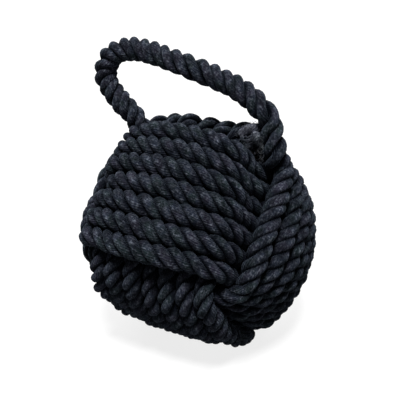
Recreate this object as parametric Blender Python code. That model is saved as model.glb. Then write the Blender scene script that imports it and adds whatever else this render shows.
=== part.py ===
# Rope knot doorstop: a monkey's fist of three interlocked sets of seven turns, wound from one
# three-strand rope round a tied bag of sand, with a loop of the same rope as its handle.
# Metres, +Z up, +X to the right and +Y to the back of the doorstop as it stands on the floor.
# The origin is on the floor, under the middle of the whole doorstop's bounding box.
import math

import bpy
import bmesh
import numpy as np
from mathutils import Matrix, Vector

# Rope
ROPE = 0.015                     # diameter of the free rope
SQUEEZED = 0.0135                # diameter on the faces of the knot, where the turns press together
BURIED = 0.0126                  # diameter of the hidden stretches under the next set's turns
SIDES = 1                        # bevel resolution of a wound tube: 6 sides
HANDLE_SIDES = 3                 # bevel resolution of the handle: 10 sides
ROOT_SIDES = 2                   # of its roots: 8 sides
ROOT_FOOT = 0.0105               # diameter of a handle root's foot, pinched between the sets
GAP = 0.0003                     # clearance between pieces that rest against each other
RUN_GAP = 0.0005                 # clearance between two straight runs of wound tube

# Winding
TURNS = 7
LOOP_POINTS = 24                 # points on each turn of a finished tube
LAID_POINTS = 48                 # points on each turn while it is pulled tight
CLIMB = math.radians(64)         # arc of the hidden crossing over which a turn steps to the next
TUCKED = math.radians(15)        # a set's ends stop this far from the middle of that crossing
EDGE_ROUND = 3.77                # how square a turn is: 2 is an oval, higher is squarer
FACE_ROUND = 2.46                # how flat the outer faces are across the stack
HIDDEN_ROUND = 2.9               # the same for the hidden crossings
FACE_SHARE = 0.28                # share of a turn's half width that keeps the face's pitch
HIDDEN_SHARE = 0.94              # share beyond which it has the hidden pitch

# Pulling tight: a rope starts thin, swells, and settles with less and less pull
THIN = 0.3                       # share of its thickness that a rope has before it swells
PULL_STEPS = 340
SWELLING_STEPS = 140
SETTLING_STEPS = 110
SEATING_STEPS = 260
PAIRING_STEPS = 8                # steps for which the same pairs of neighbours are looked at
PUSHES = 3                       # times that neighbours push each other in one step
PUSH = 1.3                       # share of a missing gap that one push makes up
TENSION = 0.135                  # share of the way to straight that a point moves in a step
HOLD = 0.03                      # share of the way back to where it was laid
SETTLING_TENSION = 0.6           # share of the tension left when the settling begins
SETTLING_HOLD = 0.3
PULL_CLEARANCE = 0.04 * ROPE
NEIGHBOURS = 9                   # points along one rope that do not push each other
RUN_NEIGHBOURS = 12
IN_REACH = 1.35 * ROPE           # points nearer than this are taken as neighbours
RUN_PARTS = 5                    # spots looked at on each straight run
LEAST_WEIGHT = 0.25
LEAST_RUN = 1.3 * ROPE           # a run as long as this is stretched for the cut, not joined to another

# Directions in the knot before it is tilted
RIGHT = Vector((1, 0, 0))
FRONT = Vector((0, -1, 0))
TOP = Vector((0, 0, 1))

# Each set runs flat over two opposite faces and dives under the next set on two others.
# near is the face on the side of out, far the opposite one. The shifts are the uneven pull that
# the handle's two roots and the cut end give the stack.
SETS = {
    "first_turns": {
        "out": FRONT, "across": RIGHT, "stack": TOP, "start": 270,
        "half_out": 0.0753, "half_across": 0.0530,
        "pitch_near": 0.0144, "pitch_far": 0.0142, "pitch_hidden": 0.0108,
        "shift_out": 0.0011, "shift_across": -0.0076, "shift_near": -0.0002, "shift_far": 0.0020,
    },
    "second_turns": {
        "out": RIGHT, "across": TOP, "stack": FRONT, "start": 270,
        "half_out": 0.0738, "half_across": 0.0543,
        "pitch_near": 0.0172, "pitch_far": 0.0138, "pitch_hidden": 0.0108,
        "shift_out": 0.0041, "shift_across": 0.0002, "shift_near": -0.0045, "shift_far": -0.0157,
    },
    "third_turns": {
        "out": TOP, "across": FRONT, "stack": RIGHT, "start": 90,
        "half_out": 0.0719, "half_across": 0.0543,
        "pitch_near": 0.0137, "pitch_far": 0.0141, "pitch_hidden": 0.0115,
        "shift_out": -0.0005, "shift_across": -0.0001, "shift_near": -0.0090, "shift_far": 0.0026,
    },
}
TAIL_REACH = math.radians(42)    # the last turn stops this far past the middle of the top face
TAIL_LENGTH = 0.034              # of its cut end, counted as a piece of its own

# Stance: the knot lies tipped back on one edge, which its weight has pressed flat
TIPPED_BACK = math.radians(41.4)
LEANING_RIGHT = math.radians(3.8)
CENTRE_RIGHT = 0.0020            # of the knot's middle, to the right of the handle's
CENTRE_HEIGHT = 0.0795
PRESSED = 0.0015                 # rope below the floor's level before it is pressed and cut flat
BELOW_FLOOR = 0.3                # side of the block that cuts it

CENTRED = Vector((-0.0009, -0.0018, 0))    # moves the bounding box's middle over the origin

# Core
BAG_HALF = 0.0425                # half the width of the bag, a rounded cube
BAG_WALL = 0.0012
BAG_ROUND = 4                    # how square the bag is
BAG_COLUMNS = 24
BAG_ROWS = 14
ROPE_CORE_HALF = (0.0475, 0.0480, 0.0476)    # half sizes of the padded bag under the rope
ROPE_CORE_MIDDLE = (0.0, -0.0014, 0.0001)
NECK_RADIUS = 0.0075
NECK_TOP = 0.0462
TIE_THICKNESS = 0.0012
TIE_POINTS = 20

# Handle: where the loop hinges on its two roots, and its route between them, seen from the front
HINGE_HEIGHT = 0.1605
HINGE_RIGHT = 0.0542
HINGE_LEFT = -0.0523
HANDLE_ROUTE = (
    (0.0535, 0.1665), (0.0490, 0.1715), (0.0320, 0.1840), (0.0030, 0.1940), (-0.0320, 0.2038),
    (-0.0500, 0.2063), (-0.0670, 0.2015), (-0.0742, 0.1905), (-0.0725, 0.1800), (-0.0635, 0.1685),
)
ROOT_RIGHT_FOOT = (0.0561, -0.0045, 0.1420)
ROOT_LEFT_FOOT = (-0.0422, 0, 0.1455)
HANDLE_POINTS = 30
ROOT_POINTS = 5
END_STEPS = (90, 68, 45, 22)     # degrees round the half ball at each end of the loop
END_RADIUS = 0.18                # least share of the rope's radius there
PINCH_START = 0.17               # share of a root's length over which it keeps its thickness

# Looks
NAVY_COTTON = (0.017, 0.021, 0.028)
CUT_COTTON = (0.030, 0.034, 0.041)
CANVAS = (0.32, 0.28, 0.22)
TWINE = (0.30, 0.24, 0.16)
SAND = (0.42, 0.33, 0.22)
ROPE_ROUGHNESS = 0.95
CLOTH_ROUGHNESS = 0.9
DRY_ROUGHNESS = 1.0


def clear_scene():
    for thing in list(bpy.data.objects):
        bpy.data.objects.remove(thing, do_unlink=True)


def material(name, colour, roughness):
    made = bpy.data.materials.new(name)
    made.use_nodes = True
    shader = made.node_tree.nodes["Principled BSDF"]
    shader.inputs["Base Color"].default_value = (*colour, 1)
    shader.inputs["Roughness"].default_value = roughness
    shader.inputs["Metallic"].default_value = 0
    return made


def add(name, data, look, parent=None):
    thing = bpy.data.objects.new(name, data)
    bpy.context.scene.collection.objects.link(thing)
    data.materials.append(look)
    thing.parent = parent
    return thing


def ease(x):
    # 0 to 1 with no corner at either end
    x = np.clip(x, 0, 1)
    return x ** 3 * (x * (6 * x - 15) + 10)


def stance():
    # from the knot's own directions to the floor's, before the whole is centred
    lean = Matrix.Rotation(LEANING_RIGHT, 4, "Y")
    tip = Matrix.Rotation(-TIPPED_BACK, 4, "X")
    return Matrix.Translation((CENTRE_RIGHT, 0, CENTRE_HEIGHT)) @ lean @ tip


def laid(winding, past_start, past_end):
    # One set's turns as it is first laid: its points, and 1 on an outer face, 0 where it is hidden
    begin = math.radians(winding["start"]) + past_start
    end = math.radians(winding["start"]) + TURNS * 2 * math.pi + past_end
    count = round((end - begin) / (2 * math.pi) * LAID_POINTS)
    angle = np.linspace(begin, end, count + 1)
    crossing = np.round((angle - math.radians(winding["start"])) / (2 * math.pi))
    past = angle - math.radians(winding["start"]) - crossing * 2 * math.pi
    middle = (TURNS - 1) / 2
    turn = np.clip(crossing - 1 - middle + ease(past / CLIMB + 0.5), -middle, middle)
    near = np.cos(angle) > 0
    face = turn * np.where(near, winding["pitch_near"], winding["pitch_far"])
    hidden = turn * winding["pitch_hidden"]
    half_out = (winding["half_out"] ** FACE_ROUND - np.abs(face) ** FACE_ROUND) ** (1 / FACE_ROUND)
    half_across = winding["half_across"] ** HIDDEN_ROUND - np.abs(hidden) ** HIDDEN_ROUND
    half_across = half_across ** (1 / HIDDEN_ROUND)
    reach = np.abs(np.cos(angle) / half_out) ** EDGE_ROUND
    reach = (reach + np.abs(np.sin(angle) / half_across) ** EDGE_ROUND) ** (-1 / EDGE_ROUND)
    out, across = reach * np.cos(angle), reach * np.sin(angle)
    share = 1 - ease((np.abs(across) / half_across - FACE_SHARE) / (HIDDEN_SHARE - FACE_SHARE))
    share = np.where(np.abs(out) < half_out / 2, 0, share)
    pull = np.where(near, winding["shift_near"], winding["shift_far"])
    along = hidden + (face - hidden + pull) * share
    points = np.outer(out + winding["shift_out"], winding["out"])
    points += np.outer(across + winding["shift_across"], winding["across"])
    return points + np.outer(along, winding["stack"]), share


def close_pairs(points, owner, within, skip):
    # pairs of points nearer than this, leaving out neighbours along the same rope
    squares = (points ** 2).sum(1)
    apart = squares[:, None] + squares[None, :] - 2 * points @ points.T
    one, other = np.nonzero(np.triu(apart < within ** 2, 1))
    kept = (owner[one] != owner[other]) | (np.abs(one - other) >= skip)
    return one[kept], other[kept]


def pushes(points, radii, free, one, other, clearance):
    # how far each point has to move so that no pair is closer than the clearance, and which ones do
    gap = points[one] - points[other]
    far = np.linalg.norm(gap, axis=1)
    missing = radii[one] + radii[other] + clearance - far
    tight = missing > 0
    one, other = one[tight], other[tight]
    move = gap[tight] / far[tight, None] * missing[tight, None]
    both = np.maximum(free[one] + free[other], 1)
    total = np.zeros_like(points)
    np.add.at(total, one, move * (free[one] / both)[:, None])
    np.add.at(total, other, -move * (free[other] / both)[:, None])
    met = np.bincount(one, minlength=len(points)) + np.bincount(other, minlength=len(points))
    return PUSH * total / np.maximum(met, 1)[:, None], met > 0


def pulled_tight(ropes, radii, roots, floor):
    # The sets as they lie once pulled tight: each turn shortens until it bears on its neighbours,
    # on the core, on the handle's roots or on the floor. floor is a point on it and its normal.
    # The ropes start thin and swell, so that each stays on its own side of those it crosses.
    sizes = [len(rope) for rope in ropes]
    ends = np.cumsum(sizes)
    moving = ends[-1]
    points = np.concatenate(ropes + [roots[:, :3]])
    first = points[:moving].copy()
    full = np.concatenate(radii + [roots[:, 3]])
    owner = np.concatenate([np.repeat(np.arange(len(ropes)), sizes), np.full(len(roots), len(ropes))])
    free = (np.arange(len(points)) < moving).astype(float)
    inside = np.ones(moving, bool)
    inside[ends - 1] = False
    inside[ends[:-1]] = False
    inside[0] = False
    middle = np.array(ROPE_CORE_MIDDLE)
    for step in range(PULL_STEPS):
        late = min(1, (PULL_STEPS - step) / SETTLING_STEPS)
        radius = full * min(1, THIN + (1 - THIN) * step / SWELLING_STEPS)
        tension = TENSION * (1 if late == 1 else SETTLING_TENSION * late)
        hold = HOLD * (1 if late == 1 else SETTLING_HOLD * late)
        rope = points[:moving]
        mean = rope.copy()
        mean[1:-1] = (rope[2:] + rope[:-2]) / 2
        rope += np.where(inside[:, None], tension * (mean - rope), 0) + hold * (first - rope)
        if step % PAIRING_STEPS == 0:
            one, other = close_pairs(points, owner, IN_REACH, NEIGHBOURS)
            rooted = (owner[one] == len(ropes)) & (owner[other] == len(ropes))
            one, other = one[~rooted], other[~rooted]
        along = np.zeros_like(points)
        along[1:moving - 1] = points[2:moving] - points[:moving - 2]
        along[ends - 1] = 0
        along[ends[:-1]] = 0
        along /= np.maximum(np.linalg.norm(along, axis=1), 1e-9)[:, None]
        for again in range(PUSHES):
            move = pushes(points, radius, free, one, other, PULL_CLEARANCE)[0]
            points = points + move - along * (move * along).sum(1)[:, None]
        rope = points[:moving]
        half = np.array(ROPE_CORE_HALF) + radius[:moving, None]
        size = (np.abs((rope - middle) / half) ** BAG_ROUND).sum(1) ** (1 / BAG_ROUND)
        rope += (rope - middle) * np.maximum(0, 1 / size - 1)[:, None]
        height = (rope - floor[0]) @ floor[1]
        rope += np.outer(np.maximum(0, radius[:moving] - height), floor[1])
    return np.split(points[:moving], ends[:-1])


def curved(points, parts):
    # a smooth curve through the points, with this many steps between each two
    ends = np.concatenate([[2 * points[0] - points[1]], points, [2 * points[-1] - points[-2]]])
    a, b, c, d = ends[:-3, None], ends[1:-2, None], ends[2:-1, None], ends[3:, None]
    t = (np.arange(parts) / parts)[None, :, None]
    between = 2 * b + (c - a) * t + (2 * a - 5 * b + 4 * c - d) * t ** 2
    between = (between + (3 * b - a - 3 * c + d) * t ** 3) / 2
    return np.concatenate([between.reshape(-1, points.shape[1]), points[-1:]])


def stations(rope, radius, count):
    # the same route on fewer points, closer together where it bends
    fine = curved(np.column_stack([rope, radius]), 4)
    step = np.linalg.norm(np.diff(fine[:, :3], axis=0), axis=1)
    heading = np.diff(fine[:, :3], axis=0) / step[:, None]
    bend = np.linalg.norm(np.diff(heading, axis=0), axis=1) / step[1:]
    bend = np.convolve(np.pad(bend, 4, mode="edge"), np.full(7, 1 / 7), "valid")[:len(step)]
    weight = np.concatenate([[0], np.cumsum(step * (0.1 + np.sqrt(bend * ROPE)))])
    at = np.interp(np.linspace(0, weight[-1], count), weight, np.arange(len(fine)))
    index = np.arange(len(fine))
    picked = np.stack([np.interp(at, index, fine[:, axis]) for axis in range(4)], 1)
    return picked[:, :3], picked[:, 3]


def with_straight_runs(rope, radius, cut):
    # Points dropped until both ends run straight for a diameter. Where a tail is to be cut off, two
    # neighbours are moved apart, for a straight diameter on either side of the cut.
    kept = list(range(len(rope)))
    while np.linalg.norm(rope[kept[1]] - rope[kept[0]]) < ROPE:
        del kept[1]
    while np.linalg.norm(rope[kept[-1]] - rope[kept[-2]]) < ROPE:
        del kept[-2]
    if cut:
        step = np.linalg.norm(np.diff(rope[kept], axis=0), axis=1)
        left = np.append(np.cumsum(step[::-1])[::-1], 0)
        at = int(np.argmin(np.abs(left - cut)))
        if max(step[at - 1:at + 1]) < LEAST_RUN:
            del kept[at]
        elif step[at] > step[at - 1]:
            at += 1
        rope, radius = rope[kept], radius[kept]
        way = rope[at] - rope[at - 1]
        length = np.linalg.norm(way)
        apart = max(0, ROPE - length / 2)
        rope[at] += way / length * apart
        rope[at - 1] -= way / length * apart
        return rope, radius
    return rope[kept], radius[kept]


def sampled(rope):
    # for spots along the straight runs between points: the point before each and the share past it
    spot = np.arange((len(rope) - 1) * RUN_PARTS + 1) / RUN_PARTS
    before = np.minimum(spot.astype(int), len(rope) - 2)
    return before, spot - before


def seated(ropes, radii, roots, floor):
    # The straight runs between points cut the corners a little, so the points move by fractions of
    # a millimetre until the runs clear each other too.
    starts = np.cumsum([0] + [len(rope) for rope in ropes])
    points = np.concatenate(ropes)
    widths = np.concatenate(radii)
    before, share, owner = [], [], []
    for i, rope in enumerate(ropes):
        index, past = sampled(rope)
        before.append(index + starts[i])
        share.append(past)
        owner.append(np.full(len(index), i))
    before, share = np.concatenate(before), np.concatenate(share)
    owner = np.concatenate(owner + [np.full(len(roots), len(ropes))])
    radius = widths[before] * (1 - share) + widths[before + 1] * share
    radius = np.concatenate([radius, roots[:, 3]])
    free = np.concatenate([np.ones(len(before)), np.zeros(len(roots))])
    for step in range(SEATING_STEPS):
        runs = points[before] * (1 - share)[:, None] + points[before + 1] * share[:, None]
        spots = np.concatenate([runs, roots[:, :3]])
        if step % PAIRING_STEPS == 0:
            one, other = close_pairs(spots, owner, IN_REACH, RUN_NEIGHBOURS)
        move, met = pushes(spots, radius, free, one, other, RUN_GAP)
        move, met = move[:len(before)], met[:len(before)].astype(float)
        size = (np.abs(runs) ** BAG_ROUND).sum(1) ** (1 / BAG_ROUND)
        sunk = np.maximum(0, BAG_HALF + 2 * GAP + radius[:len(before)] - size)
        move += runs * (sunk / size)[:, None]
        below = np.maximum(0, radius[:len(before)] - (runs - floor[0]) @ floor[1])
        move += np.outer(below, floor[1])
        met = np.maximum(met, (sunk > 0) | (below > 0))
        total, weight = np.zeros_like(points), np.zeros(len(points))
        np.add.at(total, before, move * (1 - share)[:, None])
        np.add.at(total, before + 1, move * share[:, None])
        np.add.at(weight, before, met * (1 - share))
        np.add.at(weight, before + 1, met * share)
        points = points + total / np.maximum(weight, LEAST_WEIGHT)[:, None]
    return np.split(points, starts[1:-1])


def least_gap(rope, radius):
    # the least space between two turns of one tube, measured between spots along its runs
    before, share = sampled(rope)
    spots = rope[before] * (1 - share)[:, None] + rope[before + 1] * share[:, None]
    width = radius[before] * (1 - share) + radius[before + 1] * share
    one, other = close_pairs(spots, np.zeros(len(spots)), 2 * ROPE, 20)
    return (np.linalg.norm(spots[one] - spots[other], axis=1) - width[one] - width[other]).min()


def tube(name, points, radii, sides, look, parent=None):
    # a curve with a round bevel and filled ends
    data = bpy.data.curves.new(name, "CURVE")
    data.dimensions = "3D"
    data.twist_mode = "MINIMUM"
    data.fill_mode = "FULL"
    data.use_fill_caps = True
    data.bevel_depth = ROPE / 2
    data.bevel_resolution = sides
    spline = data.splines.new("POLY")
    spline.points.add(len(points) - 1)
    for place, point, radius in zip(spline.points, points, radii):
        place.co = (*point, 1)
        place.radius = radius / (ROPE / 2)
    return add(name, data, look, parent)


def as_mesh(thing):
    # the same object with its curve turned into a mesh, so that it can be cut
    graph = bpy.context.evaluated_depsgraph_get()
    mesh = bpy.data.meshes.new_from_object(thing.evaluated_get(graph))
    name, parent = thing.name, thing.parent
    curve = thing.data
    bpy.data.objects.remove(thing, do_unlink=True)
    bpy.data.curves.remove(curve)
    made = bpy.data.objects.new(name, mesh)
    bpy.context.scene.collection.objects.link(made)
    made.parent = parent
    return made


def floor_cutter():
    # everything below the floor
    mesh = bpy.data.meshes.new("below_floor")
    shape = bmesh.new()
    bmesh.ops.create_cube(shape, size=BELOW_FLOOR)
    bmesh.ops.translate(shape, vec=(0, 0, -BELOW_FLOOR / 2), verts=shape.verts)
    shape.to_mesh(mesh)
    shape.free()
    cutter = bpy.data.objects.new("below_floor", mesh)
    bpy.context.scene.collection.objects.link(cutter)
    cutter.hide_render = True
    cutter.display_type = "WIRE"
    return cutter


def cut_flat(thing, cutter):
    cut = thing.modifiers.new("stands_on_floor", "BOOLEAN")
    cut.operation = "DIFFERENCE"
    cut.object = cutter


def rounded_cube(shape, half, inward=False):
    # a ball of quads drawn out towards a cube
    made = bmesh.ops.create_uvsphere(
        shape, u_segments=BAG_COLUMNS, v_segments=BAG_ROWS, radius=1)
    for vertex in made["verts"]:
        size = sum(abs(value) ** BAG_ROUND for value in vertex.co) ** (1 / BAG_ROUND)
        vertex.co *= half / size
    if inward:
        faces = {face for vertex in made["verts"] for face in vertex.link_faces}
        bmesh.ops.reverse_faces(shape, faces=list(faces))
    return made["verts"]


def sand_fill(parent, look):
    mesh = bpy.data.meshes.new("sand_fill")
    shape = bmesh.new()
    rounded_cube(shape, BAG_HALF - BAG_WALL - GAP)
    shape.to_mesh(mesh)
    shape.free()
    return add("sand_fill", mesh, look, parent)


def core_bag(parent, look):
    # a cloth bag with an open neck, drawn together by the tie
    mesh = bpy.data.meshes.new("core_bag")
    shape = bmesh.new()
    outer = rounded_cube(shape, BAG_HALF)
    inner = rounded_cube(shape, BAG_HALF - BAG_WALL, inward=True)
    crowns = [max(skin, key=lambda vertex: vertex.co.z) for skin in (outer, inner)]
    rings = []
    for crown in crowns:
        around = {edge.other_vert(crown) for edge in crown.link_edges}
        rings.append(sorted(around, key=lambda vertex: math.atan2(vertex.co.y, vertex.co.x)))
    bmesh.ops.delete(shape, geom=crowns, context="VERTS")
    necks = []
    for ring, radius in zip(rings, (NECK_RADIUS, NECK_RADIUS - BAG_WALL)):
        neck = []
        for vertex in ring:
            turn = math.atan2(vertex.co.y, vertex.co.x)
            vertex.co.x, vertex.co.y = radius * math.cos(turn), radius * math.sin(turn)
            neck.append(shape.verts.new((vertex.co.x, vertex.co.y, NECK_TOP)))
        necks.append(neck)
    count = len(rings[0])
    for i in range(count):
        j = (i + 1) % count
        shape.faces.new((rings[0][i], rings[0][j], necks[0][j], necks[0][i]))
        shape.faces.new((rings[1][j], rings[1][i], necks[1][i], necks[1][j]))
        shape.faces.new((necks[0][i], necks[0][j], necks[1][j], necks[1][i]))
    bmesh.ops.recalc_face_normals(shape, faces=shape.faces)
    shape.to_mesh(mesh)
    shape.free()
    return add("core_bag", mesh, look, parent)


def bag_tie(parent, look):
    # twine wound once round the neck
    data = bpy.data.curves.new("bag_tie", "CURVE")
    data.dimensions = "3D"
    data.bevel_depth = TIE_THICKNESS / 2
    data.bevel_resolution = SIDES
    spline = data.splines.new("POLY")
    spline.points.add(TIE_POINTS - 1)
    radius = NECK_RADIUS + TIE_THICKNESS / 2 + GAP
    height = NECK_TOP - TIE_THICKNESS
    for i, point in enumerate(spline.points):
        turn = 2 * math.pi * i / TIE_POINTS
        point.co = (radius * math.cos(turn), radius * math.sin(turn), height, 1)
    spline.use_cyclic_u = True
    return add("bag_tie", data, look, parent)


def rounded(points, radius):
    # the same route with a half ball drawn out past each end
    steps = np.sin(np.radians(END_STEPS))
    head = (points[0] - points[1]) / np.linalg.norm(points[0] - points[1])
    foot = (points[-1] - points[-2]) / np.linalg.norm(points[-1] - points[-2])
    route = np.concatenate([points[0] + np.outer(steps * radius, head), points,
                            points[-1] + np.outer(steps[::-1] * radius, foot)])
    ball = np.maximum(radius * np.sqrt(1 - steps ** 2), END_RADIUS * radius)
    return route, np.concatenate([ball, np.full(len(points), radius), ball[::-1]])


def smooth_route(points, count):
    # evenly spaced points on a smooth curve through the given ones
    fine = curved(points, 16)
    length = np.concatenate([[0], np.cumsum(np.linalg.norm(np.diff(fine, axis=0), axis=1))])
    at = np.linspace(0, length[-1], count)
    return np.stack([np.interp(at, length, fine[:, axis]) for axis in range(3)], 1)


def parted(rope, radius):
    # the rope cut through in the middle of the long straight run that comes nearest to its length
    step = np.linalg.norm(np.diff(rope, axis=0), axis=1)
    left = np.cumsum(step[::-1])[::-1] - step / 2
    run = int(np.argmin(np.abs(left - TAIL_LENGTH) + np.where(step < LEAST_RUN, 1, 0)))
    way = (rope[run + 1] - rope[run]) / step[run]
    middle = (rope[run] + rope[run + 1]) / 2
    width = (radius[run] + radius[run + 1]) / 2
    body = np.concatenate([rope[:run + 1], [middle]])
    tail = np.concatenate([[middle + way * GAP], rope[run + 1:]])
    print(f"the tail's straight start is {500 * step[run]:.1f} mm long")
    return body, np.append(radius[:run + 1], width), tail, np.append([width], radius[run + 1:])


def upright(places):
    # points of the handle's plane, from (x, z)
    return np.array([(x, 0, z) for x, z in places])


def root(hinge, foot, count):
    # a root's route and radii, from just under the loop's rounded end to where it is pinched
    top, bottom = upright([hinge])[0], np.array(foot)
    down = (bottom - top) / np.linalg.norm(bottom - top)
    share = np.linspace(0, 1, count)
    first = top + down * (ROPE / 2 + GAP)
    pinched = ease((share - PINCH_START) / (1 - PINCH_START))
    radii = (ROPE + (ROOT_FOOT - ROPE) * pinched) / 2
    return first + (bottom - first) * share[:, None], radii


def build():
    clear_scene()
    knot_look = material("navy_cotton", NAVY_COTTON, ROPE_ROUGHNESS)
    handle_look = material("handle_cotton", NAVY_COTTON, ROPE_ROUGHNESS)
    cut_look = material("cut_cotton", CUT_COTTON, DRY_ROUGHNESS)
    canvas = material("canvas", CANVAS, CLOTH_ROUGHNESS)
    twine = material("twine", TWINE, CLOTH_ROUGHNESS)
    sand = material("sand", SAND, DRY_ROUGHNESS)
    knot = bpy.data.objects.new("knot_axes", None)
    bpy.context.scene.collection.objects.link(knot)
    knot.matrix_world = Matrix.Translation(CENTRED) @ stance()

    hinges = ((HINGE_RIGHT, HINGE_HEIGHT), (HINGE_LEFT, HINGE_HEIGHT))
    feet = (ROOT_RIGHT_FOOT, ROOT_LEFT_FOOT)
    into_knot = np.array(stance().inverted())
    roots = [np.column_stack(root(*two, 2 * ROOT_POINTS)) for two in zip(hinges, feet)]
    roots = np.concatenate(roots)
    roots[:, :3] = roots[:, :3] @ into_knot[:3, :3].T + into_knot[:3, 3]
    floor_normal = into_knot[:3, :3] @ np.array((0, 0, 1))
    floor_point = into_knot[:3, :3] @ np.array((0, 0, -PRESSED)) + into_knot[:3, 3]

    ropes, radii = [], []
    for name, winding in SETS.items():
        past_end = TAIL_REACH - math.pi / 2 if name == "third_turns" else -TUCKED
        points, share = laid(winding, TUCKED, past_end)
        ropes.append(points)
        radii.append((BURIED + (SQUEEZED - BURIED) * share) / 2)
    floor = (floor_point, floor_normal)
    ropes = pulled_tight(ropes, radii, roots, floor)

    picked = [stations(rope, radius, TURNS * LOOP_POINTS) for rope, radius in zip(ropes, radii)]
    picked = [with_straight_runs(*two, cut) for two, cut in zip(picked, (0, 0, TAIL_LENGTH))]
    radii = [radius for _, radius in picked]
    ropes = seated([rope for rope, _ in picked], radii, roots, floor)

    cutter = floor_cutter()
    for name, rope, radius in zip(SETS, ropes, radii):
        print(f"{name}: least gap to itself {1000 * least_gap(rope, radius):.2f} mm")
        if name == "third_turns":
            rope, radius, tail, tail_radii = parted(rope, radius)
            tube("rope_tail", tail, tail_radii, SIDES, cut_look, knot)
        turns = tube(name, rope, radius, SIDES, knot_look, knot)
        if name != "second_turns":
            cut_flat(as_mesh(turns), cutter)

    sand_fill(knot, sand)
    core_bag(knot, canvas)
    bag_tie(knot, twine)

    route = upright((hinges[0],) + HANDLE_ROUTE + (hinges[1],))
    loop, loop_radii = rounded(smooth_route(route, HANDLE_POINTS), ROPE / 2)
    hinge = Vector((0, 0, HINGE_HEIGHT))
    handle = tube("handle_loop", loop - np.array(hinge), loop_radii, HANDLE_SIDES, handle_look)
    handle.location = hinge + CENTRED
    for side, hinge_place, foot in zip(("right", "left"), hinges, feet):
        route = root(hinge_place, foot, ROOT_POINTS)
        tube("handle_root_" + side, *route, ROOT_SIDES, handle_look).location = CENTRED


build()
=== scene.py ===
import math

import bpy
import numpy as np
from mathutils import Matrix, Vector


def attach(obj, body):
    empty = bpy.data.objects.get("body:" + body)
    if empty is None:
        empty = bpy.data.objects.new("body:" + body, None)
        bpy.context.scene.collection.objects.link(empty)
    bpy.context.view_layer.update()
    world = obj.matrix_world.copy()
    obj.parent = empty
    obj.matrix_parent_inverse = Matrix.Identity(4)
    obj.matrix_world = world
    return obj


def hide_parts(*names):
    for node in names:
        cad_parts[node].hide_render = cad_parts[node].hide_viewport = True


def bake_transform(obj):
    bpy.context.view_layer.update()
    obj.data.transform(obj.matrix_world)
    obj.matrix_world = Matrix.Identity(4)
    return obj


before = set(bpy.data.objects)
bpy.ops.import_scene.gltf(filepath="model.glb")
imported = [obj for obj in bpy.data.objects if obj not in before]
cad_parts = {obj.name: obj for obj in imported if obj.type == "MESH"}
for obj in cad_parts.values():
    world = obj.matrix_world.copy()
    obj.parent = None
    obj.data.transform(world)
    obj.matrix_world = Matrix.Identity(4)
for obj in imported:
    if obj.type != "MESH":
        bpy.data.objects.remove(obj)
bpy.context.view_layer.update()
print("frame loaded:", len(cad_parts), "nodes")

# The knot is wound here again, turn by turn as in the part's source, so that its strands can be
# laid along the same routes. Lengths are in metres.
rope = {
    "diameter": 0.015,
    "squeezed": 0.0135,      # of the tubes that are pulled tight, on the faces of the knot
    "buried": 0.0126,        # and under the next set's turns
    "shownOnFace": 0.0156,   # of the strands laid along them: soft cotton bulges into its neighbours
    "shownBuried": 0.0135,
    "layLength": 0.0304,
    "strandShare": 0.464,    # strand radius, as a share of the rope's
    "widening": 1.0,         # a strand is this much wider round the rope than it is deep
    "centreShare": 0.536,    # and how far its middle is from the rope's
    "untwist": 2.15,         # turns that the yarns make round a strand in one lay, against it
    "unevenLay": (0.05, 70), "unevenTurn": (0.14, 34), "unevenLift": (0.045, 26),
    "unevenWidth": (0.055, 15),                 # how far each strays, and over how many rings
    "folds": 8, "folded": 0.045,
    "sides": 14,
    "ringStep": 0.0014, "curveSteps": 8,
    "smoothedOver": 4,       # rings to each side
    "coverReach": 0.024, "coverNearest": 0.003, "coverWeight": 0.000022, "coverEvery": 3,
}
right, front, top = np.array((1, 0, 0)), np.array((0, -1, 0)), np.array((0, 0, 1))
winding = {
    "turns": 7, "laidPoints": 48, "climb": math.radians(64), "tucked": math.radians(15),
    "edgeRound": 3.77, "faceRound": 2.46, "hiddenRound": 2.9, "faceShare": 0.28, "hiddenShare": 0.94,
    "tailReach": math.radians(42),
    "coreHalf": (0.0475, 0.0480, 0.0476), "coreMiddle": (0.0, -0.0014, 0.0001), "coreRound": 4,
    "thin": 0.3, "pressed": 0.0015, "tension": 0.135, "hold": 0.03, "lateTension": 0.6, "lateHold": 0.3,
    "steps": 340, "swelling": 140, "settling": 110, "pushesEach": 3, "pushed": 1.3,
    "clearance": 0.04, "nearby": 1.35, "pairsEvery": 8, "ownRings": 9,
}
sets = {
    "first_turns": {
        "out": front, "across": right, "stack": top, "start": 270,
        "halfOut": 0.0753, "halfAcross": 0.0530,
        "pitchNear": 0.0144, "pitchFar": 0.0142, "pitchHidden": 0.0108,
        "shiftOut": 0.0011, "shiftAcross": -0.0076, "shiftNear": -0.0002, "shiftFar": 0.0020,
    },
    "second_turns": {
        "out": right, "across": top, "stack": front, "start": 270,
        "halfOut": 0.0738, "halfAcross": 0.0543,
        "pitchNear": 0.0172, "pitchFar": 0.0138, "pitchHidden": 0.0108,
        "shiftOut": 0.0041, "shiftAcross": 0.0002, "shiftNear": -0.0045, "shiftFar": -0.0157,
    },
    "third_turns": {
        "out": top, "across": front, "stack": right, "start": 90,
        "halfOut": 0.0719, "halfAcross": 0.0543,
        "pitchNear": 0.0137, "pitchFar": 0.0141, "pitchHidden": 0.0115,
        "shiftOut": -0.0005, "shiftAcross": -0.0001, "shiftNear": -0.0090, "shiftFar": 0.0026,
    },
}
stance = {"tippedBack": math.radians(41.4), "leaningRight": math.radians(3.8),
          "centre": (0.0020, 0, 0.0795), "centred": np.array((-0.0009, -0.0018, 0))}
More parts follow.
